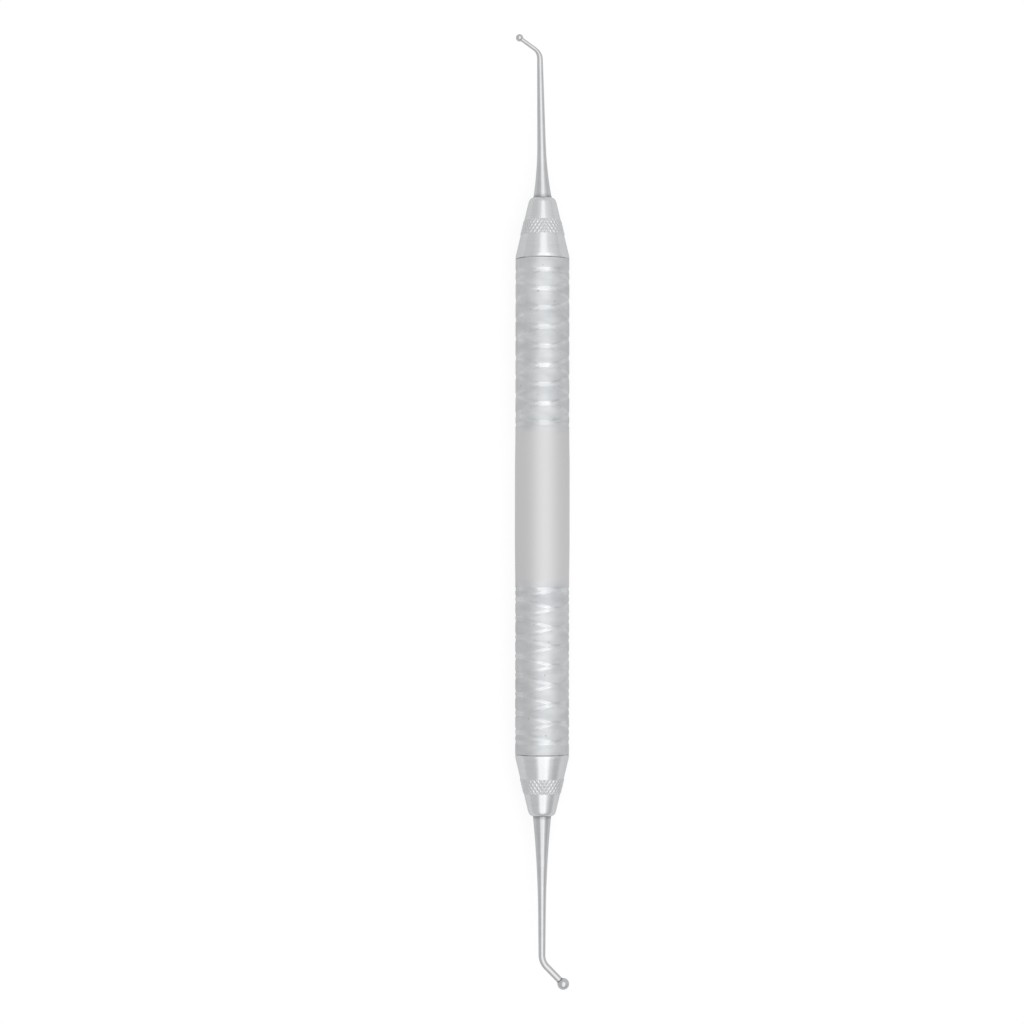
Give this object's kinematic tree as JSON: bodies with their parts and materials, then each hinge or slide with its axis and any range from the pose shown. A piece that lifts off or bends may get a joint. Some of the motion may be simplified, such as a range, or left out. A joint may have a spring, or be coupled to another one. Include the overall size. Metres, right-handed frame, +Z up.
{
  "type": "ball burnisher",
  "caption": "Double-ended dental ball burnisher: hollow grooved steel handle, knurled end cones, and bent shanks with a small ball at one end and a larger ball at the other.",
  "frame": {"origin": "centre of the middle band, on the handle's axis, where a rack's clip holds the instrument", "axes": "+Y runs along the handle toward the small ball, +X toward the side to which the large ball's tip is bent, +Z is up"},
  "size_m": [0.01, 0.174, 0.01],
  "materials": {
    "satin_steel": "satin, fine matte blast with faint turning marks",
    "fine_turned_steel": "finely turned, half bright",
    "polished_steel": "polished stainless steel"
  },
  "bodies": {
    "root": {"handle_tube": "satin_steel", "small_end_cone": "fine_turned_steel", "large_end_cone": "fine_turned_steel", "small_ball_shank": "polished_steel", "large_ball_shank": "polished_steel"}
  },
  "joints": []
}
